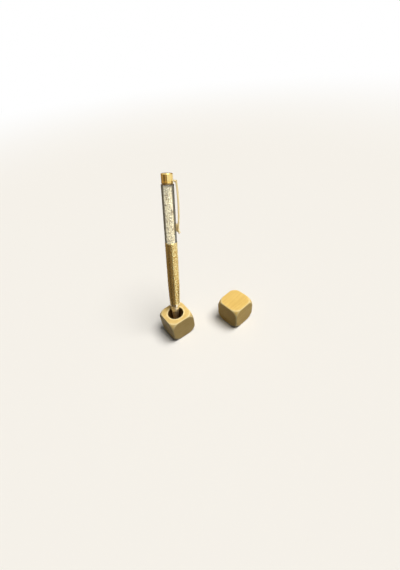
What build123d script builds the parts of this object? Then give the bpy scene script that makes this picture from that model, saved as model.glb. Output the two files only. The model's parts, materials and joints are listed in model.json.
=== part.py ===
from build123d import *
import os
import random
from math import asin, cos, pi, radians, sin, sqrt

# A pair of rounded wooden desk blocks and the twist pen that stands in one of them.
# Millimetres, Z up, origin at the centre of the pen block's underside.

# Wooden blocks
block_edge = 25.0
corner_reach = 6.2
edge_round = 1.0
bore_diameter = 15.2
bore_depth = 16.0
rim_round = 0.5

# Place of the turned-over block on the desk
spare_x = 54.3
spare_y = -26.2
spare_turn = 5.9

# How the pen stands in the bore
tip_x = -2.18
tip_y = -0.46
lean_heading = 40.4
clip_bearing = -47.0
floor_gap = 0.1
rim_gap = 0.2

# Clearances
press_gap = 0.02
running_gap = 0.08
turn_gap = 0.15
pad_gap = 0.15
stop_gap = 1.0
shoulder_gap = 0.4

# Lengths along the pen's axis, from the ball upward
point_reach = 2.6
nose_length = 12.9
bead_length = 5.9
tip_ring_length = 3.6
barrel_length = 61.0
window_length = 46.9
collar_length = 0.7
cap_length = 7.35

# Nose and lower barrel
mouth_diameter = 3.2
nose_diameter = 7.1
bead_diameter = 7.6
spigot_diameter = 6.2
spigot_length = 9.0
nose_step = 5.2
tip_ring_diameter = 9.2
tip_ring_round = 0.9
bush_wall = 0.6
bush_length = 8.0
barrel_diameter = 10.7
barrel_taper = 28.6
barrel_wall = 0.55
barrel_bevel = 0.25

# Clear window and its filling
window_diameter = 10.4
window_bore_diameter = 7.2
window_lid = 0.6
neck_length = 6.0
crown_length = 2.25
crown_bore_diameter = 4.8
crystal_size = 2.2
crystal_gap = 0.04
stone_table = 0.58
stone_crown = 0.45
stone_foot = 0.25
stone_pavilion = 0.75

# End cap and clip
collar_wall = 0.55
cap_diameter = 9.3
lip_proud = 0.1
lip_length = 1.2
lip_groove = 0.25
cap_wall = 0.8
cap_top = 1.0
cap_round = 0.7
clip_thickness = 0.8
clip_width = 3.2
clip_standoff = 1.7
clip_bow = 0.9
clip_length = 42.05
clip_flare_length = 5.6
clip_flare = 0.8
knuckle_diameter = 1.7
knuckle_lip = 0.15
pad_rise = 0.2
pad_length = 7.9
pad_flat = 5.8
pad_width = 2.6

# Twist works
disc_thickness = 1.2
boss_length = 6.0
sleeve_diameter = 6.6
sleeve_wall = 1.0
housing_skirt = 5.3
stroke = 5.5
twist_angle = 180.0
pin_diameter = 1.2
pin_gap = 0.1
follower_length = 12.0
follower_head = 3.0
socket_depth = 6.0
ring_thickness = 1.0
ring_width = 1.2
ring_depth = 0.4
ring_opening = 2.4
ring_edge = 0.6

# Refill
refill_diameter = 3.0
refill_wall = 0.4
point_diameter = 2.0
point_cone = 2.7
point_end_diameter = 0.84
ball_diameter = 0.7
ball_grip = 0.32
shoulder_length = 1.2
stem_length = 3.6
ink_space = 12.0

# Levels along the pen
nose_level = point_reach
bead_level = nose_level + nose_length
ring_level = bead_level + bead_length
barrel_level = ring_level + tip_ring_length
straight_level = ring_level + barrel_taper
window_level = barrel_level + barrel_length
collar_level = window_level + window_length
cap_level = collar_level + collar_length
top_level = cap_level + cap_length
neck_level = window_level - neck_length
disc_level = neck_level - disc_thickness
boss_level = disc_level - boss_length
pin_level = boss_level - stop_gap - follower_head - stroke
follower_level = pin_level + follower_head - follower_length
housing_level = pin_level - housing_skirt
sleeve_level = housing_level - turn_gap - ring_thickness - ring_edge
chamber_top = collar_level - window_lid
crown_level = collar_level + crown_length
clip_level = crown_level + clip_thickness
step_level = nose_level + nose_step
shoulder_level = step_level + shoulder_gap
tube_level = shoulder_level + shoulder_length

# Radii that fitting pieces share
corner_start = block_edge / 2 - corner_reach
corner_ball_radius = sqrt(block_edge ** 2 / 2 + corner_start ** 2)
bore_radius = bore_diameter / 2
barrel_radius = barrel_diameter / 2
barrel_bore_radius = barrel_radius - barrel_wall
spigot_radius = spigot_diameter / 2
bush_radius = spigot_radius + press_gap + bush_wall
window_bore_radius = window_bore_diameter / 2
crown_bore_radius = crown_bore_diameter / 2
cap_bore_radius = cap_diameter / 2 - cap_wall
crown_radius = cap_bore_radius - press_gap
sleeve_radius = sleeve_diameter / 2
sleeve_bore_radius = sleeve_radius - sleeve_wall
follower_radius = sleeve_bore_radius - running_gap
refill_radius = refill_diameter / 2
refill_bore_radius = refill_radius - refill_wall
point_radius = point_diameter / 2
pin_radius = pin_diameter / 2
slot_width = pin_diameter + 2 * pin_gap
knuckle_radius = knuckle_diameter / 2
clip_reach = window_diameter / 2 + clip_standoff + clip_thickness
knuckle_x = clip_reach - knuckle_radius
knuckle_z = clip_level - knuckle_radius


def rod(radius, low, high):
    return Pos(0, 0, low) * Cylinder(radius, high - low, align=(Align.CENTER, Align.CENTER, Align.MIN))


def tube(radius, bore, low, high):
    return rod(radius, low, high) - rod(bore, low, high)


def turned(outline):
    return revolve(Plane.XZ * make_face(outline), Axis.Z)


def taper_radius(level):
    part = (straight_level - level) / barrel_taper
    return barrel_radius - part ** 2 * (barrel_radius - tip_ring_diameter / 2)


def pen_radius(level):
    if level < bead_level:
        part = (level - nose_level) / nose_length
        return (mouth_diameter + part * (nose_diameter - mouth_diameter)) / 2
    if level < ring_level:
        part = 2 * (level - bead_level) / bead_length - 1
        return (bead_diameter - part ** 2 * (bead_diameter - nose_diameter)) / 2
    if level < straight_level:
        return taper_radius(level)
    return barrel_radius


# Least distance from the leaning pen to the rounded rim of the bore
def rim_clearance(lean):
    slope = sin(radians(lean))
    heading = radians(lean_heading)
    axis = Vector(slope * cos(heading), slope * sin(heading), cos(radians(lean)))
    tip = Vector(tip_x, tip_y, block_edge - bore_depth + floor_gap)
    least = block_edge
    for rim_angle in range(0, 91, 15):
        rim_radius = bore_radius + rim_round * (1 - cos(radians(rim_angle)))
        rim_level = block_edge - rim_round * (1 - sin(radians(rim_angle)))
        for bearing in range(0, 360, 3):
            turn = radians(bearing)
            reach = Vector(rim_radius * cos(turn), rim_radius * sin(turn), rim_level) - tip
            level = reach.dot(axis)
            least = min(least, (reach - axis * level).length - pen_radius(level))
    return least


# The pen tips over until it is one rim gap away from the rim
def resting_lean():
    upright = 0.0
    tipped = 60.0
    while tipped - upright > 0.0001:
        middle = (upright + tipped) / 2
        if rim_clearance(middle) > rim_gap:
            upright = middle
        else:
            tipped = middle
    return upright


def wooden_block():
    block = Box(block_edge, block_edge, block_edge) & Sphere(corner_ball_radius)
    block = Pos(0, 0, block_edge / 2) * fillet(block.edges(), edge_round)
    block -= rod(bore_radius, block_edge - bore_depth, block_edge)
    circles = block.edges().filter_by(GeomType.CIRCLE)
    rings = circles.filter_by(lambda edge: abs(edge.radius - bore_radius) < press_gap)
    return fillet(rings.sort_by(Axis.Z)[-1], rim_round)


def nose_cone():
    spigot_level = ring_level + spigot_length
    bore = refill_radius + 2 * pin_gap
    mouth_bore = point_radius + pin_gap
    bead_start = (nose_diameter / 2, bead_level)
    bead_end = (nose_diameter / 2, ring_level)
    bead = ThreePointArc(bead_start, (bead_diameter / 2, (bead_level + ring_level) / 2), bead_end)
    spigot = Polyline(
        bead_end,
        (spigot_radius, ring_level),
        (spigot_radius, spigot_level),
        (bore, spigot_level),
        (bore, step_level),
        (mouth_bore, step_level),
        (mouth_bore, nose_level),
        (mouth_diameter / 2, nose_level),
        bead_start,
    )
    return turned([bead, spigot])


def tip_ring():
    bore = spigot_radius + press_gap
    outline = Polyline(
        (bore, ring_level),
        (tip_ring_diameter / 2, ring_level),
        (taper_radius(barrel_level), barrel_level),
        (bore, barrel_level),
        close=True,
    )
    ring = turned(outline)
    lower_edges = ring.edges().group_by(Axis.Z)[0]
    return fillet(lower_edges.sort_by(SortBy.RADIUS)[-1], tip_ring_round)


def lower_barrel():
    seat = bush_radius + press_gap
    flank_end = (taper_radius(barrel_level), barrel_level)
    flank = TangentArc((barrel_radius, straight_level), flank_end, tangent=(0, -1))
    walls = Polyline(
        flank_end,
        (seat, barrel_level),
        (seat, straight_level),
        (barrel_bore_radius, straight_level),
        (barrel_bore_radius, window_level),
        (barrel_radius - barrel_bevel, window_level),
        (barrel_radius, window_level - barrel_bevel),
        (barrel_radius, straight_level),
    )
    return turned([flank, walls])


def nose_bush():
    return tube(bush_radius, spigot_radius + press_gap, barrel_level, barrel_level + bush_length)


# Straight guide slot along the housing for the follower's pin
def twist_housing():
    top = disc_level - turn_gap
    housing = tube(barrel_bore_radius - press_gap, sleeve_radius + running_gap, housing_level, top)
    slot = Box(barrel_radius, slot_width, stroke, align=(Align.MIN, Align.CENTER, Align.MIN))
    housing -= Pos(0, 0, pin_level) * slot
    for level in (pin_level, pin_level + stroke):
        housing -= Pos(0, 0, level) * Rot(0, 90, 0) * rod(slot_width / 2, 0, barrel_radius)
    return housing


# Cam sleeve whose helical slot lifts the pin by the stroke over the twist angle
def cam_sleeve():
    sleeve = tube(sleeve_radius, sleeve_bore_radius, sleeve_level, disc_level)
    cut_radius = sleeve_radius - sleeve_wall / 2
    pitch = stroke * 360 / twist_angle
    path = Helix(pitch, stroke, cut_radius, center=(0, 0, pin_level), lefthand=True)
    start = Plane(origin=path @ 0, x_dir=(1, 0, 0), z_dir=path % 0)
    sleeve -= sweep(start * Rectangle(2 * sleeve_wall, slot_width), path=path, is_frenet=True)
    for turn, level in ((0, pin_level), (-twist_angle, pin_level + stroke)):
        slot_end = Rot(0, 90, 0) * rod(slot_width / 2, 0, 2 * sleeve_radius)
        sleeve -= Pos(0, 0, level) * Rot(0, 0, turn) * slot_end
    low = sleeve_level + ring_edge
    groove = tube(sleeve_diameter, sleeve_radius - ring_depth, low, low + ring_thickness + press_gap)
    return sleeve - groove


def retaining_ring():
    low = sleeve_level + ring_edge + press_gap / 2
    inside = sleeve_radius - ring_depth + press_gap
    ring = tube(inside + ring_width, inside, low, low + ring_thickness)
    opening = Box(barrel_diameter, ring_opening, ring_thickness, align=(Align.MAX, Align.CENTER, Align.MIN))
    return ring - Pos(0, 0, low) * opening


def lower_plug():
    plug = rod(window_bore_radius - press_gap, neck_level, window_level)
    plug += rod(barrel_bore_radius - 2 * turn_gap, disc_level, neck_level)
    return plug + rod(sleeve_bore_radius - press_gap, boss_level, disc_level)


def window_tube():
    shoulder = window_level + turn_gap
    body = rod(window_diameter / 2, shoulder, collar_level)
    body += rod(barrel_bore_radius - running_gap, neck_level, shoulder)
    body += rod(crown_radius, collar_level, crown_level)
    body -= rod(window_bore_radius, neck_level, chamber_top)
    return body - rod(crown_bore_radius, chamber_top, crown_level)


# One faceted stone that stays inside a ball of the crystal size however it is turned
def crystal():
    girdle = crystal_size / 2
    table = Pos(0, 0, stone_crown * girdle) * RegularPolygon(stone_table * girdle, 6, rotation=30)
    foot = Pos(0, 0, -stone_pavilion * girdle) * RegularPolygon(stone_foot * girdle, 6)
    return loft([table, RegularPolygon(girdle, 6), foot], ruled=True)


# Layers of stones, one in the middle and as many round it as the bore takes
def crystals():
    stone = crystal()
    dice = random.Random(5)
    pitch = crystal_size + crystal_gap
    ring_radius = window_bore_radius - pitch / 2
    around = int(pi / asin(pitch / 2 / ring_radius))
    layers = int((chamber_top - window_level - crystal_gap) / pitch)
    stones = []
    for layer in range(layers):
        level = window_level + crystal_gap + (layer + 0.5) * pitch
        places = [(0, 0)]
        for place in range(around):
            turn = 2 * pi * (place + 0.5 * (layer % 2)) / around
            places.append((ring_radius * cos(turn), ring_radius * sin(turn)))
        for x, y in places:
            turned_stone = Rot(dice.uniform(0, 360), dice.uniform(0, 360), dice.uniform(0, 360)) * stone
            stones.append(Pos(x, y, level) * turned_stone)
    return Compound(stones)


def cap_collar():
    bore = crown_radius + press_gap
    return tube(bore + collar_wall, bore, collar_level, cap_level)


def top_plug():
    stem = rod(crown_bore_radius - press_gap, chamber_top, clip_level)
    return stem + rod(cap_bore_radius - press_gap, clip_level, top_level - cap_top - press_gap)


def end_cap():
    lip_radius = cap_diameter / 2 + lip_proud
    groove_level = cap_level + lip_length
    outline = Polyline(
        (cap_bore_radius, cap_level),
        (lip_radius - lip_groove, cap_level),
        (lip_radius, cap_level + lip_groove),
        (lip_radius, groove_level - lip_groove),
        (cap_diameter / 2 - lip_groove, groove_level),
        (cap_diameter / 2, groove_level + lip_groove),
        (cap_diameter / 2, top_level),
        (0, top_level),
        (0, top_level - cap_top),
        (cap_bore_radius, top_level - cap_top),
        close=True,
    )
    cap = turned(outline)
    cap = fillet(cap.edges().sort_by(Axis.Z)[-1], cap_round)
    window = Box(cap_diameter, clip_width, clip_thickness, align=(Align.MIN, Align.CENTER, Align.MIN))
    return cap - Pos(0, 0, crown_level) * offset(window, turn_gap)


# Washer under the plug's head, with the tab that comes out through the cap's window
def clip_root():
    washer = tube(cap_bore_radius - running_gap, crown_bore_radius + press_gap, crown_level, clip_level)
    seat_radius = knuckle_radius + running_gap
    tab_end = knuckle_x - sqrt(seat_radius ** 2 - (clip_level - knuckle_lip - knuckle_z) ** 2)
    tab_start = crown_bore_radius + press_gap
    tab = Pos(tab_start, -clip_width / 2, crown_level) * Box(
        tab_end - tab_start, clip_width, clip_thickness, align=Align.MIN
    )
    root = washer + tab
    seat = Pos(knuckle_x, 0, knuckle_z) * Rot(90, 0, 0) * Cylinder(seat_radius, 2 * clip_width)
    return root - seat


# Bowed strip that hangs from the knuckle, with a flared tip
def clip_arm():
    x_top = clip_reach - clip_thickness / 2
    z_waist = clip_level - clip_length + clip_flare_length
    waist = (x_top, z_waist)
    bow = ThreePointArc((x_top, knuckle_z), (x_top + clip_bow, (knuckle_z + z_waist) / 2), waist)
    flare = TangentArc(waist, (x_top + clip_flare, clip_level - clip_length), tangent=bow % 1)
    strip = extrude(Plane.XZ * trace(bow + flare, clip_thickness), clip_width / 2, both=True)
    knuckle = Pos(knuckle_x, 0, knuckle_z) * Rot(90, 0, 0) * Cylinder(knuckle_radius, clip_width)
    return strip + knuckle


# Wedge soldered inside the strip that presses on the window
def clip_pad(arm):
    inner = window_diameter / 2 + pad_gap
    low = clip_level - clip_length + pad_rise
    high = low + pad_length
    outline = Polyline(
        (inner, high),
        (clip_reach + clip_flare, high),
        (clip_reach + clip_flare, low),
        (inner, high - pad_flat),
        close=True,
    )
    wedge = extrude(Plane.XZ * make_face(outline), pad_width / 2, both=True)
    return (wedge - arm).solids().sort_by(Axis.X)[0]


def writing_ball():
    return Pos(0, 0, ball_diameter / 2) * Sphere(ball_diameter / 2)


def refill_point():
    outline = Polyline(
        (0, ball_grip),
        (point_end_diameter / 2, ball_grip),
        (point_radius, ball_grip + point_cone),
        (point_radius, shoulder_level),
        (refill_radius, shoulder_level),
        (refill_radius, tube_level),
        (refill_bore_radius - press_gap, tube_level),
        (refill_bore_radius - press_gap, tube_level + stem_length),
        (0, tube_level + stem_length),
        close=True,
    )
    return turned(outline) - Pos(0, 0, ball_diameter / 2) * Sphere(ball_diameter / 2 + press_gap)


def refill_tube():
    return tube(refill_radius, refill_bore_radius, tube_level, follower_level + socket_depth)


def refill_ink():
    top = follower_level + socket_depth - ink_space
    return rod(refill_bore_radius - press_gap, tube_level + stem_length, top)


def follower():
    body = rod(follower_radius, follower_level, follower_level + follower_length)
    body -= rod(refill_radius + press_gap, follower_level, follower_level + socket_depth)
    return body - Pos(0, 0, pin_level) * Rot(0, 90, 0) * rod(pin_radius + press_gap, 0, sleeve_radius)


def follower_pin():
    return Pos(0, 0, pin_level) * Rot(0, 90, 0) * rod(pin_radius, 0, barrel_bore_radius - 2 * turn_gap)


lean = resting_lean()
tip = Pos(tip_x, tip_y, block_edge - bore_depth + floor_gap)
pen_place = tip * Rot(0, 0, lean_heading) * Rot(0, lean, 0) * Rot(0, 0, clip_bearing - lean_heading)
spare_place = Pos(spare_x, spare_y, block_edge) * Rot(0, 0, spare_turn) * Rot(180, 0, 0)

block = wooden_block()
arm = clip_arm()
pen_pieces = {
    "nose_cone": nose_cone(),
    "tip_ring": tip_ring(),
    "lower_barrel": lower_barrel(),
    "nose_bush": nose_bush(),
    "twist_housing": twist_housing(),
    "cam_sleeve": cam_sleeve(),
    "retaining_ring": retaining_ring(),
    "lower_plug": lower_plug(),
    "window_tube": window_tube(),
    "crystals": crystals(),
    "cap_collar": cap_collar(),
    "top_plug": top_plug(),
    "end_cap": end_cap(),
    "clip_root": clip_root(),
    "clip_arm": arm,
    "clip_pad": clip_pad(arm),
    "writing_ball": writing_ball(),
    "refill_point": refill_point(),
    "refill_tube": refill_tube(),
    "refill_ink": refill_ink(),
    "follower": follower(),
    "follower_pin": follower_pin(),
}
nodes = {"pen_block": block, "spare_block": spare_place * block}
for name, piece in pen_pieces.items():
    nodes[name] = pen_place * piece

os.makedirs("parts", exist_ok=True)
for name, piece in nodes.items():
    export_step(piece, f"parts/{name}.step")
print(f"lean {lean:.2f} degrees, {len(nodes)} nodes")
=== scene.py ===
import bpy
import json
import random
from math import atan2, cos, exp, log, pi, radians, sin, sqrt
from mathutils import Euler, Matrix, Vector


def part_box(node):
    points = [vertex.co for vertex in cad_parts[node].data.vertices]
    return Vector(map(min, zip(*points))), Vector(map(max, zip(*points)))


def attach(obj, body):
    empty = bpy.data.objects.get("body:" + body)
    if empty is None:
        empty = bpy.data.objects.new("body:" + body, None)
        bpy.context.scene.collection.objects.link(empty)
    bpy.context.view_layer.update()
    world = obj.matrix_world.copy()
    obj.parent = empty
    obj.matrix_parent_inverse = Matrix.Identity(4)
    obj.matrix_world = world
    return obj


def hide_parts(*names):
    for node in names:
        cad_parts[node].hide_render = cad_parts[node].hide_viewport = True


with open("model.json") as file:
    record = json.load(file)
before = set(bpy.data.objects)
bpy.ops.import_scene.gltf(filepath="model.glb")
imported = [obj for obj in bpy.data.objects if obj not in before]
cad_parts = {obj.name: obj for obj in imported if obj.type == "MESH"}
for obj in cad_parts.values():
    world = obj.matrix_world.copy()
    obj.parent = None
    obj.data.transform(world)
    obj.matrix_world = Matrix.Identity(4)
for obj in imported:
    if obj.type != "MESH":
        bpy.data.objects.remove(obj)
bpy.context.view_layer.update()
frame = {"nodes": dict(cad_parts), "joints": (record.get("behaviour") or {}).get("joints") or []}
mm = 0.001

# the pen's own frame: its axis is the twist hinge, its clip points along x, its ball is the origin
penSizes = {  # millimetres up the axis from the ball
    "ringLow": 21.4,
    "barrelLow": 25.0,
    "straight": 50.0,
    "seam": 86.0,
    "chamberTop": 132.3,
}
joints = {joint["name"]: joint for joint in frame["joints"]}
penAxis = Vector(joints["twist"]["axis"]).normalized()
penSeam = Vector(joints["twist"]["pos_m"])
clipSide = Vector(joints["clip_flex"]["pos_m"]) - penSeam
clipSide = (clipSide - penAxis * clipSide.dot(penAxis)).normalized()
penFrame = Matrix((clipSide, penAxis.cross(clipSide), penAxis)).transposed().to_4x4()
penFrame.translation = penSeam - penAxis * penSizes["seam"] * mm
print("frame loaded, pen axis", [round(value, 3) for value in penAxis])


# mesh helpers
def deselectAll():
    if bpy.context.mode != "OBJECT":
        bpy.ops.object.mode_set(mode="OBJECT")
    bpy.ops.object.select_all(action="DESELECT")


def activate(piece):
    deselectAll()
    piece.select_set(True)
    bpy.context.view_layer.objects.active = piece


def addGrid(name, columns, rows):  # one unit square, still to be rolled into its shape
    deselectAll()
    bpy.ops.mesh.primitive_grid_add(x_subdivisions=columns, y_subdivisions=rows, size=1.0)
    piece = bpy.context.object
    piece.name = name
    return piece


def linkNew(name, data):
    thing = bpy.data.objects.new(name, data)
    bpy.context.scene.collection.objects.link(thing)
    return thing


def markMesh(piece, name, values, domain="POINT"):  # marks that a material reads
    piece.data.attributes.new(name, "FLOAT", domain).data.foreach_set("value", values)


def openWelded(piece, weld=0.001):  # into edit mode, with doubles merged
    activate(piece)
    bpy.ops.object.mode_set(mode="EDIT")
    bpy.ops.mesh.select_all(action="SELECT")
    bpy.ops.mesh.remove_doubles(threshold=weld)


def closeOutward():  # out of edit mode, with all faces outwards
    bpy.ops.mesh.select_all(action="SELECT")
    bpy.ops.mesh.normals_make_consistent(inside=False)
    bpy.ops.object.mode_set(mode="OBJECT")


def selectPoints(piece, wanted):  # in edit mode, picks the points that the test accepts
    bpy.ops.mesh.select_mode(type="VERT")
    bpy.ops.mesh.select_all(action="DESELECT")
    bpy.ops.object.mode_set(mode="OBJECT")
    for point in piece.data.vertices:
        point.select = wanted(point.co)
    bpy.ops.object.mode_set(mode="EDIT")


def placeMesh(piece, home):  # from millimetres in that frame to metres in the part's, in the mesh
    activate(piece)
    piece.matrix_world = home @ Matrix.Scale(mm, 4)
    bpy.ops.object.transform_apply(location=True, rotation=True, scale=True)


# node helpers
def newMaterial(name):
    material = bpy.data.materials.new(name)
    material.use_nodes = True
    material.node_tree.nodes.clear()
    return material


def addNode(tree, kind, inputs=None, **settings):
    node = tree.nodes.new(kind)
    for key, value in settings.items():
        setattr(node, key, value)
    for key, value in (inputs or {}).items():
        if isinstance(value, bpy.types.NodeSocket):
            tree.links.new(value, node.inputs[key])
        else:
            node.inputs[key].default_value = value
    return node


def mathNode(tree, operation, first, second=0.0, third=0.0, clamp=False):
    inputs = {0: first, 1: second, 2: third}
    return addNode(tree, "ShaderNodeMath", inputs, operation=operation, use_clamp=clamp).outputs[0]


def rangeNode(tree, value, low, high, toLow=0.0, toHigh=1.0, smooth=True):
    inputs = {"Value": value, "From Min": low, "From Max": high, "To Min": toLow, "To Max": toHigh}
    kind = "SMOOTHSTEP" if smooth else "LINEAR"
    return addNode(tree, "ShaderNodeMapRange", inputs, interpolation_type=kind).outputs["Result"]


def noiseNode(tree, vector, scale=1.0, detail=2.0, roughness=0.5):
    inputs = {"Vector": vector, "Scale": scale, "Detail": detail, "Roughness": roughness}
    return addNode(tree, "ShaderNodeTexNoise", inputs).outputs["Fac"]


def markNode(tree, name):
    return addNode(tree, "ShaderNodeAttribute", attribute_name=name).outputs["Fac"]


def lengthNode(tree, vector):
    node = addNode(tree, "ShaderNodeVectorMath", {0: vector}, operation="LENGTH")
    return node.outputs["Value"]


def stretched(tree, vector, scale):
    node = addNode(tree, "ShaderNodeVectorMath", {0: vector, 1: scale}, operation="MULTIPLY")
    return node.outputs["Vector"]


def bumpNode(tree, height, distance, strength):
    inputs = {"Height": height, "Distance": distance * mm, "Strength": strength}
    return addNode(tree, "ShaderNodeBump", inputs).outputs["Normal"]


def opaque(colour):
    return (*colour, 1.0)


def mixColour(tree, factor, first, second):
    inputs = {"Factor": factor}
    for socket, value in ((6, first), (7, second)):  # the two colours of a colour mix
        inputs[socket] = value if isinstance(value, bpy.types.NodeSocket) else opaque(value)
    return addNode(tree, "ShaderNodeMix", inputs, data_type="RGBA").outputs[2]


def mappedPoint(tree, home):  # object coordinates in millimetres, seen from that frame
    inverse = home.inverted()
    inputs = {
        "Vector": addNode(tree, "ShaderNodeTexCoord").outputs["Object"],
        "Scale": (1 / mm, 1 / mm, 1 / mm),
        "Rotation": inverse.to_euler(),
        "Location": inverse.translation / mm,
    }
    return addNode(tree, "ShaderNodeMapping", inputs, vector_type="POINT").outputs["Vector"]


def surface(material, inputs, volume=None):
    tree = material.node_tree
    ends = {"Surface": addNode(tree, "ShaderNodeBsdfPrincipled", inputs).outputs[0]}
    if volume is not None:
        ends["Volume"] = volume
    addNode(tree, "ShaderNodeOutputMaterial", ends)
    return material


def newGroup(name, inputs, outputs):
    group = bpy.data.node_groups.new(name, "ShaderNodeTree")
    for socketName, kind in inputs.items():
        group.interface.new_socket(socketName, in_out="INPUT", socket_type=kind)
    for socketName in outputs:
        group.interface.new_socket(socketName, in_out="OUTPUT", socket_type="NodeSocketFloat")
    source = group.nodes.new("NodeGroupInput")
    target = group.nodes.new("NodeGroupOutput")
    return group, source.outputs, target.inputs


def useGroup(tree, group, inputs):
    return addNode(tree, "ShaderNodeGroup", inputs, node_tree=group).outputs


# growth rings, fibres and pores, with the grain along x; stretches are per millimetre
grainLook = {
    "waver": 7.0,
    "waverStretch": (0.03, 0.12, 0.12),
    "lateStart": 0.35,
    "lateEnd": 0.93,
    "fibreStretch": (0.09, 2.6, 2.6),
    "fibreHeight": 0.45,
    "poreStretch": (0.55, 7.0, 7.0),
    "poreRange": (0.68, 0.76),
}


def makeGrainGroup():
    s = grainLook
    inputs = {
        "Point": "NodeSocketVector",
        "Ring Spacing": "NodeSocketFloat",
        "Heart Y": "NodeSocketFloat",
        "Heart Z": "NodeSocketFloat",
    }
    tree, given, result = newGroup("woodGrain", inputs, ("Rings", "Fibres", "Pores", "Height"))
    point = given["Point"]
    axes = addNode(tree, "ShaderNodeSeparateXYZ", {0: point}).outputs
    sideways = mathNode(tree, "SUBTRACT", axes["Y"], given["Heart Y"])
    upward = mathNode(tree, "SUBTRACT", axes["Z"], given["Heart Z"])
    fromHeart = addNode(tree, "ShaderNodeCombineXYZ", {"Y": sideways, "Z": upward}).outputs[0]
    waver = noiseNode(tree, stretched(tree, point, s["waverStretch"]), detail=3.0)
    reach = mathNode(tree, "MULTIPLY_ADD", waver, s["waver"], lengthNode(tree, fromHeart))
    turns = mathNode(tree, "FRACT", mathNode(tree, "DIVIDE", reach, given["Ring Spacing"]))
    late = rangeNode(tree, turns, s["lateStart"], s["lateEnd"])
    early = rangeNode(tree, turns, s["lateEnd"], 1.0, toLow=1.0, toHigh=0.0)
    rings = mathNode(tree, "MULTIPLY", late, early)
    fibres = noiseNode(tree, stretched(tree, point, s["fibreStretch"]), detail=4.0, roughness=0.6)
    flecks = noiseNode(tree, stretched(tree, point, s["poreStretch"]), detail=1.0)
    pores = rangeNode(tree, flecks, *s["poreRange"])
    height = mathNode(tree, "MULTIPLY", fibres, s["fibreHeight"])
    height = mathNode(tree, "MULTIPLY_ADD", pores, -1.0, height)
    made = {"Rings": rings, "Fibres": fibres, "Pores": pores, "Height": height}
    for name, socket in made.items():
        tree.links.new(socket, result[name])
    return tree


# hairline scratches along one direction, and smudges of handling
handlingLook = {
    "scratchRange": (0.35, 0.75),
    "smudgeRange": (0.35, 0.7),
    "smudgeScale": 0.22,
}


def makeHandlingGroup():
    s = handlingLook
    inputs = {
        "Point": "NodeSocketVector",
        "Stretch": "NodeSocketVector",
        "Smudge Scale": "NodeSocketFloat",
    }
    tree, given, result = newGroup("handling", inputs, ("Scratches", "Smudge"))
    along = stretched(tree, given["Point"], given["Stretch"])
    lines = noiseNode(tree, along, detail=3.0, roughness=0.65)
    blots = noiseNode(tree, given["Point"], given["Smudge Scale"], detail=3.0)
    tree.links.new(rangeNode(tree, lines, *s["scratchRange"]), result["Scratches"])
    tree.links.new(rangeNode(tree, blots, *s["smudgeRange"]), result["Smudge"])
    return tree


grainGroup = makeGrainGroup()
handlingGroup = makeHandlingGroup()
print("shared node groups made")


def handledOn(tree, point, stretch):
    inputs = {"Point": point, "Stretch": stretch, "Smudge Scale": handlingLook["smudgeScale"]}
    return useGroup(tree, handlingGroup, inputs)


# metals: colour, colour where smudged, roughness where untouched, direction of the hairlines
lathe, drawn = (0.5, 0.5, 14.0), (8.0, 8.0, 0.25)
metalLooks = {
    "polishedGold": ((0.95, 0.72, 0.28), (0.80, 0.55, 0.17), 0.08, lathe),
    # the collar is gold painted dark as the shade in the groove under the cap
    "collarGoldPaintedShade": ((0.40, 0.25, 0.09), (0.24, 0.14, 0.04), 0.26, lathe),
    "clipGold": ((1.0, 0.85, 0.47), (0.92, 0.70, 0.33), 0.34, drawn),
    "noseGold": ((1.0, 0.89, 0.64), (0.95, 0.79, 0.52), 0.30, lathe),
    "silverRing": ((1.0, 0.94, 0.78), (0.88, 0.78, 0.58), 0.12, lathe),
    "refillBrass": ((0.80, 0.60, 0.29), (0.55, 0.37, 0.14), 0.26, drawn),
    "brightSteel": ((0.74, 0.74, 0.74), (0.50, 0.50, 0.51), 0.20, lathe),
}
metalWear = {
    "smudgeTone": 0.45,
    "smudgeRough": 0.06,
    "scratchRough": 0.10,
    "bump": 0.004,
    "bumpStrength": 0.35,
}


def metalMaterial(name):
    wear = metalWear
    clean, smudged, base, stretch = metalLooks[name]
    material = newMaterial(name)
    tree = material.node_tree
    handled = handledOn(tree, mappedPoint(tree, penFrame), stretch)
    smudge, scratches = handled["Smudge"], handled["Scratches"]
    colour = mixColour(tree, mathNode(tree, "MULTIPLY", smudge, wear["smudgeTone"]), clean, smudged)
    roughness = mathNode(tree, "MULTIPLY_ADD", scratches, wear["scratchRough"], base)
    roughness = mathNode(tree, "MULTIPLY_ADD", smudge, wear["smudgeRough"], roughness)
    normal = bumpNode(tree, scratches, wear["bump"], wear["bumpStrength"])
    inputs = {"Base Color": colour, "Metallic": 1.0, "Roughness": roughness, "Normal": normal}
    return surface(material, inputs)


# plastics: colour, colour where smudged, roughness where untouched
plasticLooks = {
    "worksPlastic": ((0.74, 0.72, 0.66), (0.60, 0.58, 0.52), 0.40),
    "inkPaste": ((0.012, 0.018, 0.07), (0.006, 0.008, 0.03), 0.25),
}
plasticWear = {
    "stretch": (3.0, 3.0, 1.0),
    "scratchRough": 0.12,
    "bump": 0.008,
    "bumpStrength": 0.3,
}


def plasticMaterial(name):
    wear = plasticWear
    clean, smudged, base = plasticLooks[name]
    material = newMaterial(name)
    tree = material.node_tree
    handled = handledOn(tree, mappedPoint(tree, penFrame), wear["stretch"])
    colour = mixColour(tree, handled["Smudge"], clean, smudged)
    roughness = mathNode(tree, "MULTIPLY_ADD", handled["Scratches"], wear["scratchRough"], base)
    normal = bumpNode(tree, handled["Scratches"], wear["bump"], wear["bumpStrength"])
    return surface(material, {"Base Color": colour, "Roughness": roughness, "Normal": normal})


def dress(node, material):
    slots = frame["nodes"][node].data.materials
    slots.clear()
    slots.append(material)


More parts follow.
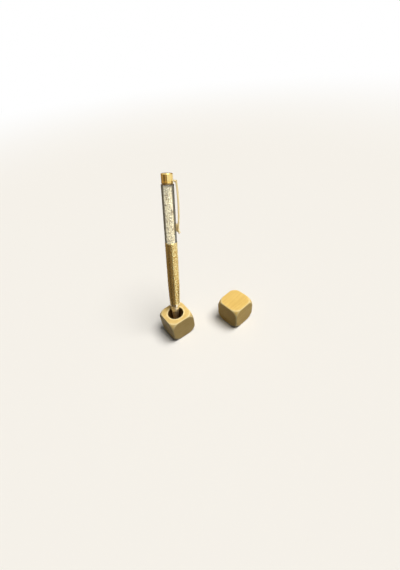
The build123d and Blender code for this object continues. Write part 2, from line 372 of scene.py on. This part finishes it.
metals = {name: metalMaterial(name) for name in metalLooks}
worksPlastic = plasticMaterial("worksPlastic")
metalNodes = {
    "polishedGold": ["end_cap"],
    "collarGoldPaintedShade": ["cap_collar"],
    "noseGold": ["nose_cone"],
    "silverRing": ["tip_ring"],
    "refillBrass": ["refill_point", "refill_tube", "nose_bush"],
    "brightSteel": ["writing_ball", "follower_pin", "retaining_ring"],
}
for name, nodes in metalNodes.items():
    for node in nodes:
        dress(node, metals[name])
for node in ("twist_housing", "cam_sleeve", "lower_plug", "top_plug", "follower"):
    dress(node, worksPlastic)
dress("refill_ink", plasticMaterial("inkPaste"))
print("CAD nodes dressed")

# sanded wood, its grain along the block's own x; marks on the mesh say where edges and rim get a
# painted highlight mixed with rubbed wear, and where the bore gets painted shade
woods = {  # each block is cut from another place in the plank
    "penBlockWood": {
        "pale": (0.79, 0.585, 0.23),
        "dark": (0.65, 0.435, 0.14),
        "heart": (-38.0, -52.0),
    },
    "spareBlockWood": {
        "pale": (0.88, 0.625, 0.195),
        "dark": (0.73, 0.465, 0.115),
        "heart": (64.0, 41.0),
    },
}
woodLook = {
    # edge: colour of the painted highlight on the edges and the bore's rim, partly rubbed wear
    "edge": (1.0, 0.87, 0.50),
    # bore: colour of the painted shade inside the bore
    "bore": (0.17, 0.09, 0.03),
    "ringSpacing": 2.6,
    "ringTone": 0.24,
    "fibreRange": (0.3, 0.75),
    "fibreTone": 0.38,
    "blotchScale": 0.11,
    "blotchRange": (0.3, 0.7),
    "blotchTone": 0.34,
    "poreTone": 0.3,
    "boreShadeGrain": 0.3,
    "raggedScale": 1.3,
    "raggedRange": (0.2, 0.6),
    "raggedLeast": 0.45,
    "wearAndHighlightTone": 0.75,
    "roughness": 0.36,
    "fibreRough": 0.16,
    "rubbedRough": -0.08,
    "boreRough": 0.2,
    "toolMark": 1.1,
    "toolMarkHeight": 0.7,
    "bump": 0.045,
    "bumpStrength": 0.7,
    "specular": 0.2,
}


def woodMaterial(name, blockFrame):
    look, wood = woodLook, woods[name]
    material = newMaterial(name)
    tree = material.node_tree
    point = mappedPoint(tree, blockFrame)
    grain = useGroup(tree, grainGroup, {
        "Point": point,
        "Ring Spacing": look["ringSpacing"],
        "Heart Y": wood["heart"][0],
        "Heart Z": wood["heart"][1],
    })
    fibres = rangeNode(tree, grain["Fibres"], *look["fibreRange"])
    blotches = noiseNode(tree, point, look["blotchScale"], detail=3.0)
    blotches = rangeNode(tree, blotches, *look["blotchRange"])
    tone = mathNode(tree, "MULTIPLY", grain["Rings"], look["ringTone"])
    tone = mathNode(tree, "MULTIPLY_ADD", fibres, look["fibreTone"], tone)
    tone = mathNode(tree, "MULTIPLY_ADD", blotches, look["blotchTone"], tone)
    tone = mathNode(tree, "MULTIPLY_ADD", grain["Pores"], look["poreTone"], tone, clamp=True)
    colour = mixColour(tree, tone, wood["pale"], wood["dark"])

    # painted highlight along the edges and on the bore's rim, partly rubbed wear, in a lighter
    # colour
    ragged = noiseNode(tree, point, look["raggedScale"], detail=3.0)
    ragged = rangeNode(tree, ragged, *look["raggedRange"], toLow=look["raggedLeast"])
    wearAndHighlight = mathNode(tree, "MULTIPLY", markNode(tree, "wearAndHighlight"), ragged, clamp=True)
    wornAndHighlit = mathNode(tree, "MULTIPLY", wearAndHighlight, look["wearAndHighlightTone"])
    colour = mixColour(tree, wornAndHighlit, colour, look["edge"])

    # painted shade makes the bore's wall and floor darker, with the cutter's rings
    bore = markNode(tree, "bore")
    axes = addNode(tree, "ShaderNodeSeparateXYZ", {0: point}).outputs
    flat = addNode(tree, "ShaderNodeCombineXYZ", {"X": axes["X"], "Y": axes["Y"]}).outputs[0]
    marks = mathNode(tree, "ADD", lengthNode(tree, flat), axes["Z"])
    marks = mathNode(tree, "SINE", mathNode(tree, "MULTIPLY", marks, 2 * pi / look["toolMark"]))
    marks = mathNode(tree, "MULTIPLY", marks, bore)
    boreShadeGrain = mathNode(tree, "MULTIPLY", tone, look["boreShadeGrain"])
    colour = mixColour(tree, bore, colour, mixColour(tree, boreShadeGrain, look["bore"], wood["dark"]))

    roughness = look["roughness"]
    roughness = mathNode(tree, "MULTIPLY_ADD", grain["Fibres"], look["fibreRough"], roughness)
    roughness = mathNode(tree, "MULTIPLY_ADD", wearAndHighlight, look["rubbedRough"], roughness)
    roughness = mathNode(tree, "MULTIPLY_ADD", bore, look["boreRough"], roughness)
    height = mathNode(tree, "MULTIPLY_ADD", marks, look["toolMarkHeight"], grain["Height"])
    return surface(material, {
        "Base Color": colour,
        "Roughness": roughness,
        "Normal": bumpNode(tree, height, look["bump"], look["bumpStrength"]),
        "Specular IOR Level": look["specular"],
    })


# wooden blocks: a grid rolled round the block's own z, from the bore's floor over the rim
# and down the outside to the underside; sizes in millimetres, angles in degrees
blocks = {
    "around": 192,
    "outsideRows": 132,
    "wallRows": 12,
    "rimRows": 5,
    "ballRadius": 18.77,
    "softness": 0.36,
    "deepest": 0.85,
    "halvings": 14,
    "boreRadius": 7.6,
    "boreDepth": 16.0,
    "floorEase": 0.1,
    "rimRound": 0.5,
    "rimShade": 0.5,
    # rows of the top face next to the rim that also get the painted highlight
    "rimHighlight": 4,  # rows
    "smooth": 50,
    "spareTurn": 5.9,
}
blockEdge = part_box("pen_block")[1].z
blockHalf = blockEdge / mm / 2


def blockDepth(place):  # how far outside the sanded block, and how close to one of its edges
    s = blocks
    gaps = [abs(value) - blockHalf for value in place] + [place.length - s["ballRadius"]]
    most = max(gaps)
    total = sum(exp((gap - most) / s["softness"]) for gap in gaps)
    return most + s["softness"] * log(total), 2 - 2 / total


def blockSurface(direction):  # where a ray from the block's middle comes out
    s = blocks
    reach = min(blockHalf / max(abs(value) for value in direction), s["ballRadius"])
    near, far = s["deepest"], 1.0
    for halving in range(s["halvings"]):
        middle = (near + far) / 2
        if blockDepth(direction * reach * middle)[0] > 0:
            far = middle
        else:
            near = middle
    place = direction * reach * near
    return place, blockDepth(place)[1]


def boreProfile():  # reach, level and both marks of each row, from the floor's middle to the rim
    s = blocks
    low, corner = blockHalf - s["boreDepth"], blockHalf - s["rimRound"]
    foot = low + s["floorEase"]
    floorReaches = (0.0, s["boreRadius"] / 2, s["boreRadius"] - s["floorEase"])
    # the floor and wall rows carry the bore's painted shade
    profile = [(reach, low, 0.0, 1.0) for reach in floorReaches]
    for row in range(s["wallRows"]):
        level = foot + (corner - foot) * row / s["wallRows"]
        profile.append((s["boreRadius"], level, 0.0, 1.0))
    for row in range(s["rimRows"]):
        turn = row / s["rimRows"] * pi / 2
        reach = s["boreRadius"] + s["rimRound"] * (1 - cos(turn))
        level = corner + s["rimRound"] * sin(turn)
        # the rim's rows get the full painted highlight, and some of the bore's painted shade
        profile.append((reach, level, 1.0, max(0.0, s["rimShade"] * (1 - turn))))
    return profile


def makeBlock(name, node, body, blockFrame):
    s = blocks
    profile = boreProfile()
    rows = len(profile) + s["outsideRows"]
    piece = addGrid(name, s["around"], rows)
    top = atan2(blockHalf, s["boreRadius"] + s["rimRound"])
    wearAndHighlightMarks, boreShadeMarks = [], []
    for point in piece.data.vertices:
        turn = (point.co.x + 0.5) * 2 * pi
        row = round((point.co.y + 0.5) * rows)
        if row < len(profile):
            reach, level, wearAndHighlight, bore = profile[row]
            place = Vector((reach * cos(turn), reach * sin(turn), level))
        else:
            outside = row - len(profile)
            rise = top - (top + pi / 2) * outside / s["outsideRows"]
            direction = Vector((cos(rise) * cos(turn), cos(rise) * sin(turn), sin(rise)))
            # closeness to an edge, and nearness to the rim, mark the painted highlight, partly
            # rubbed wear
            place, wearAndHighlight = blockSurface(direction)
            wearAndHighlight = max(wearAndHighlight, 1 - outside / s["rimHighlight"])
            bore = 0.0
        point.co = place
        wearAndHighlightMarks.append(wearAndHighlight)
        boreShadeMarks.append(bore)
    markMesh(piece, "wearAndHighlight", wearAndHighlightMarks)
    markMesh(piece, "bore", boreShadeMarks)
    openWelded(piece)
    closeOutward()
    bpy.ops.object.shade_smooth_by_angle(angle=radians(s["smooth"]))
    placeMesh(piece, blockFrame)
    piece.data.materials.append(woodMaterial(name + "Wood", blockFrame))
    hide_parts(node)
    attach(piece, body)


penBlockFrame = Matrix.Translation((0, 0, blockEdge / 2))
spareLow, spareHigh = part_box("spare_block")
spareFrame = Matrix.Translation((spareLow + spareHigh) / 2)
spareFrame = spareFrame @ Matrix.Rotation(radians(blocks["spareTurn"]), 4, "Z")
spareFrame = spareFrame @ Matrix.Rotation(pi, 4, "X")  # its bore underneath
makeBlock("penBlock", "pen_block", "block", penBlockFrame)
makeBlock("spareBlock", "spare_block", "spare", spareFrame)
print("blocks sanded")

# gold with dark worn-in hollows, read from the relief that is cut into the barrel
engravedLook = {
    "raised": (1.0, 0.87, 0.44),
    "hollow": (0.64, 0.42, 0.13),
    "raisedRough": 0.16,
    "hollowRough": 0.36,
    "reliefRange": (0.1, 0.7),
    "patinaScale": 0.5,
    "patinaRange": (0.42, 0.62),
    "patina": 0.5,
    "stretch": (4.0, 4.0, 4.0),
    "scratchRough": 0.08,
    "bump": 0.006,
    "bumpStrength": 0.4,
}


def engravedMaterial():
    look = engravedLook
    material = newMaterial("engravedGold")
    tree = material.node_tree
    point = mappedPoint(tree, penFrame)
    scratches = handledOn(tree, point, look["stretch"])["Scratches"]
    relief = rangeNode(tree, markNode(tree, "relief"), *look["reliefRange"])
    patina = rangeNode(tree, noiseNode(tree, point, look["patinaScale"]), *look["patinaRange"])
    raised = mathNode(tree, "MULTIPLY_ADD", patina, -look["patina"], relief, clamp=True)
    colour = mixColour(tree, raised, look["hollow"], look["raised"])
    ends = (look["hollowRough"], look["raisedRough"])
    roughness = rangeNode(tree, raised, 0.0, 1.0, *ends, smooth=False)
    roughness = mathNode(tree, "MULTIPLY_ADD", scratches, look["scratchRough"], roughness)
    normal = bumpNode(tree, scratches, look["bump"], look["bumpStrength"])
    inputs = {"Base Color": colour, "Metallic": 1.0, "Roughness": roughness, "Normal": normal}
    return surface(material, inputs)


# engraved barrel: a grid rolled into the tapered tube, with scrolls cut into it
barrel = {
    "around": 224,
    "along": 384,
    "radius": 5.35,
    "ringRadius": 4.6,
    "bore": 4.8,
    "seat": 3.74,
    "bevel": 0.25,
    "depth": 0.06,
    "columns": 7,
    "rowStep": 4.4,
    "jitter": 0.55,
    "search": 5,  # how far round a point its scroll is looked for
    "coil": 1.9,
    "coilGain": 1.5,
    "bud": 0.45,
    "border": 0.42,
    "plainBand": 0.8,
    "ringGroove": 0.35,
    "touch": 0.01,
    "smooth": 50,
    "seed": 4,
}


def barrelRadius(level):
    s = barrel
    if level < penSizes["straight"]:
        part = (penSizes["straight"] - level) / (penSizes["straight"] - penSizes["ringLow"])
        return s["radius"] - part ** 2 * (s["radius"] - s["ringRadius"])
    return s["radius"] - max(0.0, level - (penSizes["seam"] - s["bevel"]))


def layScrolls():  # centre, hand and start of each scroll on the unrolled barrel, row by row
    s = barrel
    dice = random.Random(s["seed"])
    width = 2 * pi * s["radius"] / s["columns"]
    low, high = penSizes["barrelLow"], penSizes["seam"]
    rows = []
    for row in range(int((high - low) / s["rowStep"]) + 3):  # from just below to just above
        scrolls = []
        for column in range(s["columns"]):
            across = (column + 0.5 * (row % 2)) * width + dice.uniform(-1, 1) * s["jitter"]
            level = low + (row - 0.5) * s["rowStep"] + dice.uniform(-1, 1) * s["jitter"]
            scrolls.append((across, level, dice.choice((-1, 1)), dice.uniform(0, 2 * pi)))
        rows.append(scrolls)
    return rows


scrollRows = layScrolls()


def scrollRelief(turn, level):  # 1 on the raised scrolls, 0 in the hollows
    s = barrel
    girth = 2 * pi * s["radius"]
    across = turn * s["radius"]
    middle = int((level - penSizes["barrelLow"]) / s["rowStep"] + 0.5)
    near = []
    for row in scrollRows[max(0, middle - 1):middle + 3]:
        for place, rise, hand, start in row:
            dx = (across - place + girth / 2) % girth - girth / 2
            dy = level - rise
            if abs(dx) < s["search"] and abs(dy) < s["search"]:
                near.append((sqrt(dx * dx + dy * dy), dx, dy, hand, start))
    near.sort()
    distance, dx, dy, hand, start = near[0]
    spread = near[1][0] - distance
    coil = 0.5 + 0.5 * cos(hand * atan2(dy, dx) + start - 2 * pi * distance / s["coil"])
    bud = exp(-(distance / s["bud"]) ** 2)
    edge = min(1.0, spread / s["border"])
    return min(1.0, max(s["coilGain"] * coil, bud)) * edge


def makeBarrel():
    s = barrel
    piece = addGrid("engravedBarrel", s["around"], s["along"])
    low, high = penSizes["barrelLow"], penSizes["seam"]
    heights = []
    for point in piece.data.vertices:
        turn = (point.co.x + 0.5) * 2 * pi
        level = low + (point.co.y + 0.5) * (high - low)
        edge = min(level - low, high - level)
        if edge < s["plainBand"]:
            relief = 1.0
        elif edge < s["plainBand"] + s["ringGroove"]:
            relief = 0.0
        else:
            relief = scrollRelief(turn, level)
        radius = barrelRadius(level) - s["depth"] * (1 - relief)
        point.co = (radius * cos(turn), radius * sin(turn), level)
        heights.append(relief)
    markMesh(piece, "relief", heights)
    openWelded(piece)
    rims = ((low, s["seat"]), (high, s["bore"]))
    for level, inside in rims:  # both ends turned in to the bore
        selectPoints(piece, lambda place: abs(place.z - level) < s["touch"])
        bpy.ops.mesh.extrude_region_move()
        shrink = inside / barrelRadius(level)
        bpy.ops.transform.resize(value=(shrink, shrink, 1.0), center_override=(0, 0, level))
    selectPoints(piece, lambda place: any(
        abs(place.z - level) < s["touch"] and place.xy.length < inside + s["touch"]
        for level, inside in rims
    ))
    bpy.ops.mesh.bridge_edge_loops()
    closeOutward()
    bpy.ops.object.shade_smooth_by_angle(angle=radians(s["smooth"]))
    placeMesh(piece, penFrame)
    piece.data.materials.append(engravedMaterial())
    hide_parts("lower_barrel")
    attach(piece, "pen_lower")
    print("barrel engraved,", len(piece.data.polygons), "faces")


makeBarrel()

# cut stones, each facet with its own tone
stoneLook = {
    "light": (1.0, 0.935, 0.68),
    "dark": (0.28, 0.18, 0.07),
    "flawScale": 1.4,
    "flaw": 0.3,
    "roughness": 0.06,
    "flawRough": 0.12,
    "ior": 1.9,
    "coat": 0.7,
}


def stoneMaterial():
    look = stoneLook
    material = newMaterial("cutCrystal")
    tree = material.node_tree
    flaw = noiseNode(tree, mappedPoint(tree, penFrame), look["flawScale"])
    shade = mathNode(tree, "SUBTRACT", markNode(tree, "tone"), look["flaw"] / 2)
    shade = mathNode(tree, "MULTIPLY_ADD", flaw, look["flaw"], shade, clamp=True)
    return surface(material, {
        "Base Color": mixColour(tree, shade, look["light"], look["dark"]),
        "Roughness": mathNode(tree, "MULTIPLY_ADD", flaw, look["flawRough"], look["roughness"]),
        "IOR": look["ior"],
        "Coat Weight": look["coat"],
    })


# crystals: one cut stone, copied in loose layers up the window's bore
stones = {
    "size": 1.4,
    "sizeSpread": (0.88, 1.04),
    "boreRadius": 3.6,
    "wallGap": 0.53,  # in stone sizes
    "innerRing": 1.3,
    "endGap": 0.35,
    "layerStep": 0.95,
    "levelJitter": 0.15,
    "sides": 8,
    "girdle": 0.05,
    "crown": ((0.13, 0.82), (0.08, 0.66)),  # rise and shrink of each step of facets
    "pavilion": ((0.24, 0.55), (0.16, 0.2)),
    "tones": (0.0, 0.0, 0.0, 0.0, 0.05, 0.7),
    "toneSpread": (-0.2, 0.15),
    "darkFacet": 0.06,
    "darkTone": 0.9,
    "seed": 11,
}


def makeStone():
    s = stones
    deselectAll()
    bpy.ops.mesh.primitive_cylinder_add(
        vertices=s["sides"], radius=0.5, depth=s["girdle"], end_fill_type="NGON"
    )
    stone = bpy.context.object
    bpy.ops.object.mode_set(mode="EDIT")
    for side, steps in ((1, s["crown"]), (-1, s["pavilion"])):
        level = s["girdle"] / 2
        selectPoints(stone, lambda place: place.z * side > 0)
        for rise, share in steps:
            level += rise
            bpy.ops.mesh.extrude_region_move(TRANSFORM_OT_translate={"value": (0, 0, side * rise)})
            centre = (0, 0, side * level)
            bpy.ops.transform.resize(value=(share, share, 1.0), center_override=centre)
    closeOutward()
    return stone


def facetOrder(stone):  # by place, because extrude numbers the facets anew in each run
    places = [[round(value, 3) for value in facet.center] for facet in stone.data.polygons]
    return sorted(range(len(places)), key=lambda index: places[index])


def facetTones(dice, order):
    s = stones
    base = dice.choice(s["tones"])
    tones = [base] * len(order)
    for index in order:
        dark = dice.random() < s["darkFacet"]
        tones[index] = s["darkTone"] if dark else base + dice.uniform(*s["toneSpread"])
    return tones


def makeCrystals():
    s = stones
    dice = random.Random(s["seed"])
    stone = makeStone()
    order = facetOrder(stone)
    copies = []
    low, high = penSizes["seam"] + s["endGap"], penSizes["chamberTop"] - s["endGap"]
    for layer in range(int((high - low) / s["layerStep"])):
        for ringRadius in (s["boreRadius"] - s["wallGap"] * s["size"], s["innerRing"]):
            count = int(2 * pi * ringRadius / s["size"] + 0.5)
            start = dice.uniform(0, 2 * pi)
            for place in range(count):
                turn = start + 2 * pi * place / count
                level = low + (layer + 0.5) * s["layerStep"]
                level += dice.uniform(-s["levelJitter"], s["levelJitter"])
                centre = Vector((ringRadius * cos(turn), ringRadius * sin(turn), level))
                spin = Euler([dice.uniform(0, 2 * pi) for axis in range(3)])
                size = s["size"] * dice.uniform(*s["sizeSpread"])
                copy = linkNew("crystal", stone.data.copy())
                copy.matrix_world = Matrix.LocRotScale(centre, spin, Vector((size, size, size)))
                markMesh(copy, "tone", facetTones(dice, order), "FACE")
                copies.append(copy)
    activate(stone)
    bpy.ops.object.delete()
    for copy in copies:
        copy.select_set(True)
    piece = copies[0]
    bpy.context.view_layer.objects.active = piece
    bpy.ops.object.join()
    bpy.ops.object.transform_apply(location=True, rotation=True, scale=True)
    piece.name = "cutCrystals"
    placeMesh(piece, penFrame)
    piece.data.materials.append(stoneMaterial())
    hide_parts("crystals")
    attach(piece, "pen_upper")
    print("crystals filled in,", len(copies), "stones")


makeCrystals()

# clear acrylic with a faint smoky body and handling marks
acrylicLook = {
    "clean": (0.99, 0.99, 0.98),
    "smudged": (0.95, 0.95, 0.94),
    "stretch": (6.0, 6.0, 0.4),
    "roughness": 0.005,
    "scratchRough": 0.03,
    "ior": 1.49,
    "smoke": (0.44, 0.36, 0.22),
    "smokeDensity": 12.0,
}


def acrylicMaterial():
    look = acrylicLook
    base = look["roughness"]
    material = newMaterial("clearAcrylic")
    tree = material.node_tree
    handled = handledOn(tree, mappedPoint(tree, penFrame), look["stretch"])
    colour = mixColour(tree, handled["Smudge"], look["clean"], look["smudged"])
    roughness = mathNode(tree, "MULTIPLY_ADD", handled["Scratches"], look["scratchRough"], base)
    inputs = {
        "Base Color": colour,
        "Roughness": roughness,
        "Transmission Weight": 1.0,
        "IOR": look["ior"],
    }
    smoke = {"Color": opaque(look["smoke"]), "Density": look["smokeDensity"]}
    volume = addNode(tree, "ShaderNodeVolumeAbsorption", smoke).outputs[0]
    return surface(material, inputs, volume)


# clip and window with their edges eased, in millimetres and degrees
easing = {
    "weld": 0.004,
    "flat": 0.6,
    "sharp": 35,
    "smooth": 40,
    "segments": 3,
}
easedPieces = {
    "clipRoot": {"node": "clip_root", "body": "pen_upper", "slot": "clip_steel", "ease": 0.07},
    "clipStrip": {"node": "clip_arm", "body": "clip", "slot": "clip_steel", "ease": 0.16},
    "clipFoot": {"node": "clip_pad", "body": "clip", "slot": "clip_steel", "ease": 0.12},
    "windowGlass": {
        "node": "window_tube",
        "body": "pen_upper",
        "slot": "clear_acrylic",
        "ease": 0.06,
    },
}


def makeEased():
    looks = {"clip_steel": metals["clipGold"], "clear_acrylic": acrylicMaterial()}
    for name, s in easedPieces.items():
        piece = linkNew(name, frame["nodes"][s["node"]].data.copy())
        openWelded(piece, easing["weld"] * mm)
        bpy.ops.mesh.dissolve_limited(angle_limit=radians(easing["flat"]))
        bpy.ops.object.mode_set(mode="OBJECT")
        bevel = piece.modifiers.new("ease", "BEVEL")
        bevel.width = s["ease"] * mm
        bevel.segments = easing["segments"]
        bevel.limit_method = "ANGLE"
        bevel.angle_limit = radians(easing["sharp"])
        bpy.ops.object.modifier_apply(modifier=bevel.name)
        bpy.ops.object.shade_smooth_by_angle(angle=radians(easing["smooth"]))
        piece.data.materials.clear()
        piece.data.materials.append(looks[s["slot"]])
        piece.visible_shadow = s["slot"] != "clear_acrylic"  # light falls through the window
        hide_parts(s["node"])
        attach(piece, s["body"])
    print("clip and window eased")


makeEased()

# stage: pale floor, white surroundings, one soft lamp and cards that metal and glass show
stage = {
    "floorRadius": 6.0,
    "floorSides": 96,
    "floorColour": (0.86, 0.855, 0.845),
    "floorRoughness": 0.9,
    "bounceColour": (0.10, 0.094, 0.085),
    "fadeStart": 0.45,
    "fadeEnd": 1.6,
    "roomLight": 0.07,
}
white = opaque((1.0, 1.0, 1.0))


def seenDirectly(tree):  # 1 for rays that show the background: to the camera, in metal, in glass
    rays = addNode(tree, "ShaderNodeLightPath").outputs
    mirrored = mathNode(tree, "MAXIMUM", rays["Is Glossy Ray"], rays["Is Transmission Ray"])
    return mathNode(tree, "MAXIMUM", rays["Is Camera Ray"], mirrored)


def makeFloor():
    s = stage
    deselectAll()
    bpy.ops.mesh.primitive_circle_add(
        vertices=s["floorSides"], radius=s["floorRadius"], fill_type="NGON"
    )
    floor = bpy.context.object
    floor.name = "floor"
    material = newMaterial("paleFloor")
    tree = material.node_tree
    reach = lengthNode(tree, addNode(tree, "ShaderNodeTexCoord").outputs["Object"])
    seen = seenDirectly(tree)
    far = mathNode(tree, "MULTIPLY", rangeNode(tree, reach, s["fadeStart"], s["fadeEnd"]), seen)
    matt = addNode(tree, "ShaderNodeBsdfPrincipled", {
        "Base Color": mixColour(tree, seen, s["bounceColour"], s["floorColour"]),
        "Roughness": s["floorRoughness"],
        "Specular IOR Level": 0.0,
    }).outputs[0]
    glow = addNode(tree, "ShaderNodeEmission", {"Color": white, "Strength": 1.0}).outputs[0]
    mixed = addNode(tree, "ShaderNodeMixShader", {0: far, 1: matt, 2: glow}).outputs[0]
    addNode(tree, "ShaderNodeOutputMaterial", {"Surface": mixed})
    floor.data.materials.append(material)


def makeWorld():
    world = bpy.data.worlds.new("softRoom")
    bpy.context.scene.world = world
    world.use_nodes = True
    tree = world.node_tree
    tree.nodes.clear()
    strength = rangeNode(tree, seenDirectly(tree), 0.0, 1.0, toLow=stage["roomLight"], smooth=False)
    glow = addNode(tree, "ShaderNodeBackground", {"Color": white, "Strength": strength})
    addNode(tree, "ShaderNodeOutputWorld", {"Surface": glow.outputs[0]})


# photograph's camera, from the outlines of the two cubes
camera = {
    "place": (-0.0643, -0.1521, 0.2222),
    "bearing": 57.7,
    "pitch": 45.08,
    "roll": -6.88,
    "focalPixels": 261.0,
    "imageHeight": 570,
    "sensor": 36.0,
    "nearest": 0.005,
    "furthest": 30.0,
}


def makeCamera():
    bearing, pitch, roll = (radians(camera[key]) for key in ("bearing", "pitch", "roll"))
    forward = Vector((cos(bearing) * cos(pitch), sin(bearing) * cos(pitch), -sin(pitch)))
    level = Vector((sin(bearing), -cos(bearing), 0))
    right = level * cos(roll) - forward.cross(level) * sin(roll)
    turn = Matrix((right, -forward.cross(right), -forward)).transposed().to_4x4()
    data = bpy.data.cameras.new("photoCamera")
    data.sensor_width = camera["sensor"]
    data.lens = camera["focalPixels"] / camera["imageHeight"] * camera["sensor"]
    data.clip_start = camera["nearest"]
    data.clip_end = camera["furthest"]
    view = linkNew("photoCamera", data)
    view.matrix_world = Matrix.Translation(camera["place"]) @ turn
    bpy.context.scene.camera = view


def stageDirection(right, away, up):  # as the camera's bearing gives right and away
    bearing = radians(camera["bearing"])
    across = right * sin(bearing) + away * cos(bearing)
    return Vector((across, away * sin(bearing) - right * cos(bearing), up))


lamp = {
    "towards": (0.39, 0.0, 1.0),  # to the camera's right, away from it and up
    "spread": 34.0,
    "power": 3.35,
    "colour": (1.0, 0.965, 0.90),
}


def makeLamp():
    data = bpy.data.lights.new("key", "SUN")
    data.angle = radians(lamp["spread"])
    data.energy = lamp["power"]
    data.color = lamp["colour"]
    light = linkNew("key", data)
    towards = stageDirection(*lamp["towards"])
    light.rotation_mode = "QUATERNION"
    light.rotation_quaternion = (-towards).to_track_quat("-Z", "Y")
    light.location = towards


# curved cards that only metal or only glass shows; tones go by degrees from the camera's side
# of the pen round to its left, and low rows start earlier by the lead and end sooner by the lag
cards = {
    "metalCard": {
        "tones": (
            (-4, 0.14), (7, 0.14), (13, 0.4), (34, 0.4), (42, 0.14), (64, 0.14), (82, 0.34),
            (96, 0.46), (130, 0.46), (150, 0.22), (166, 0.22), (176, 0.5), (200, 0.5),
            (240, 0.36), (268, 0.34),
        ),
        "lead": 12,
        "lag": 68,
        "colour": (1.0, 0.72, 0.42),
        "glossy": True,
    },
    "glassCard": {
        "tones": (
            (105, 0.45), (116, 0.34), (132, 0.16), (178, 0.1), (200, 0.16), (225, 0.36),
            (252, 0.5),
        ),
        "lead": 0,
        "lag": 0,
        "colour": (1.0, 0.9, 0.68),
        "glossy": False,
    },
}
cardSteps = 60
cardProfile = (  # reach, height and light of each row, and its share of the lead and lag
    (0.045, 0.001, 0.5, 1.0),
    (0.32, 0.002, 0.5, 1.0),
    (0.43, 0.02, 0.55, 1.0),
    (0.47, 0.07, 0.75, 0.6),
    (0.49, 0.16, 1.0, 0.0),
    (0.49, 0.32, 1.0, 0.0),
)


def between(pairs, place):
    for (low, first), (high, second) in zip(pairs, pairs[1:]):
        if place <= high:
            return first + (second - first) * max(0.0, place - low) / (high - low)
    return pairs[-1][1]


def makeCards():
    rows = len(cardProfile) - 1
    for name, s in cards.items():
        card = addGrid(name, cardSteps, rows)
        first, last = s["tones"][0][0], s["tones"][-1][0]
        shades = []
        for point in card.data.vertices:
            reach, height, light, low = cardProfile[round((point.co.y + 0.5) * rows)]
            start, end = first - low * s["lead"], last - low * s["lag"]
            turn = start + (point.co.x + 0.5) * (end - start)
            shades.append(between(s["tones"], turn) * light)
            turn = radians(turn)
            point.co = stageDirection(-sin(turn) * reach, -cos(turn) * reach, height)
        markMesh(card, "shade", shades)
        material = newMaterial(name)
        tree = material.node_tree
        inputs = {"Color": opaque(s["colour"]), "Strength": markNode(tree, "shade")}
        glow = addNode(tree, "ShaderNodeEmission", inputs)
        addNode(tree, "ShaderNodeOutputMaterial", {"Surface": glow.outputs[0]})
        card.data.materials.append(material)
        card.visible_camera = False
        card.visible_shadow = False
        card.visible_diffuse = False
        card.visible_glossy = s["glossy"]
        card.visible_transmission = not s["glossy"]


makeFloor()
makeWorld()
makeCamera()
makeLamp()
makeCards()
bpy.context.scene.view_settings.view_transform = "Standard"
print("stage set")
